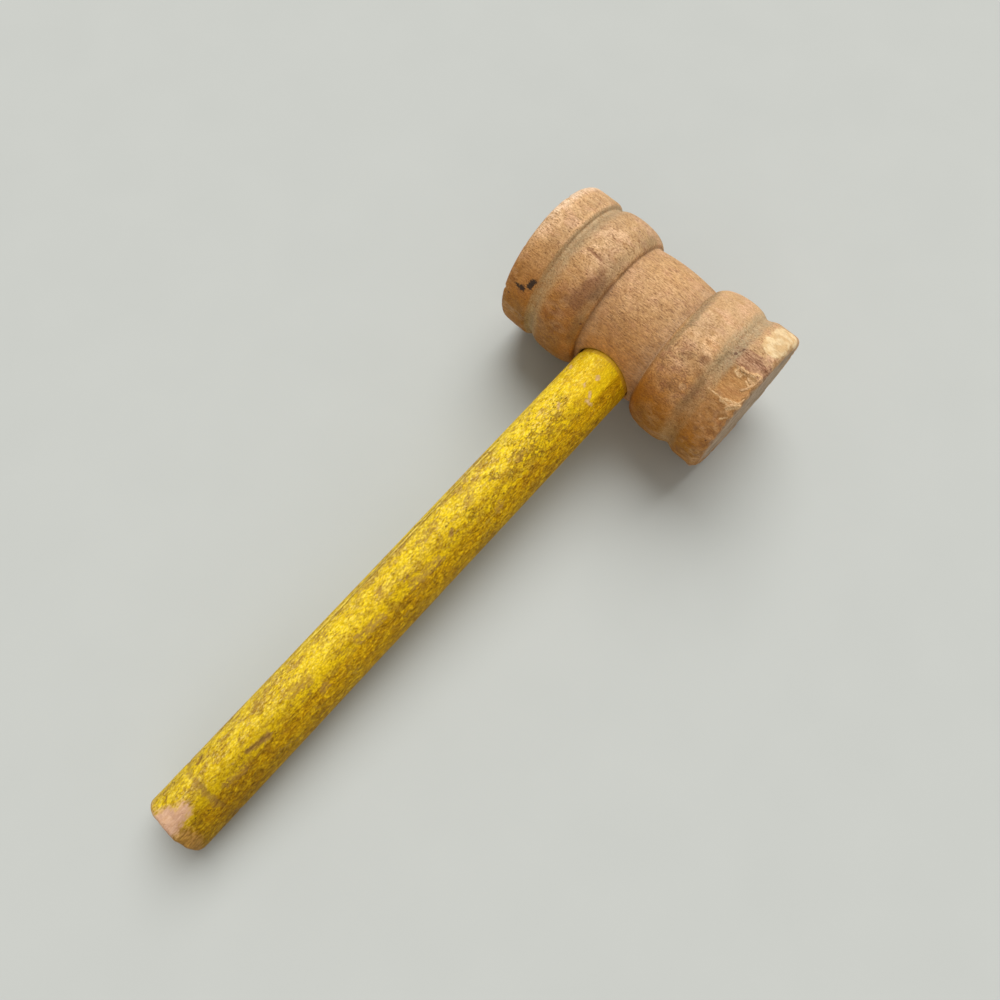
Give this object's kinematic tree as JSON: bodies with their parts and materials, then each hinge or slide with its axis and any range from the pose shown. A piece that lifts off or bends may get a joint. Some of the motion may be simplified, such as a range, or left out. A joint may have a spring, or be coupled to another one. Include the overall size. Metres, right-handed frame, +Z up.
{
  "type": "toy pounding mallet",
  "caption": "Small wooden toy mallet: a turned head with beads, end bands and a barrel waist, and a painted round dowel handle glued into a blind cross hole.",
  "frame": {"origin": "on the floor, under the middle of the box of the mallet as it lies on its side on its two beads and the edge of the butt", "axes": "+X along the axis of the head, +Y from the butt of the handle towards the head, +Z up"},
  "size_m": [0.072, 0.2022, 0.045],
  "materials": {
    "turned_hardwood": "bare, worn and handled hardwood with fine grain along the head, end grain on the striking faces",
    "yellow_painted_wood": "thin yellow paint, semi-matt, pitted, cracked and worn through to the wood in places",
    "cured_wood_glue": "cured wood glue, translucent amber, matt"
  },
  "bodies": {
    "root": {"head": "turned_hardwood", "handle": "yellow_painted_wood", "glue": "cured_wood_glue"}
  },
  "joints": []
}
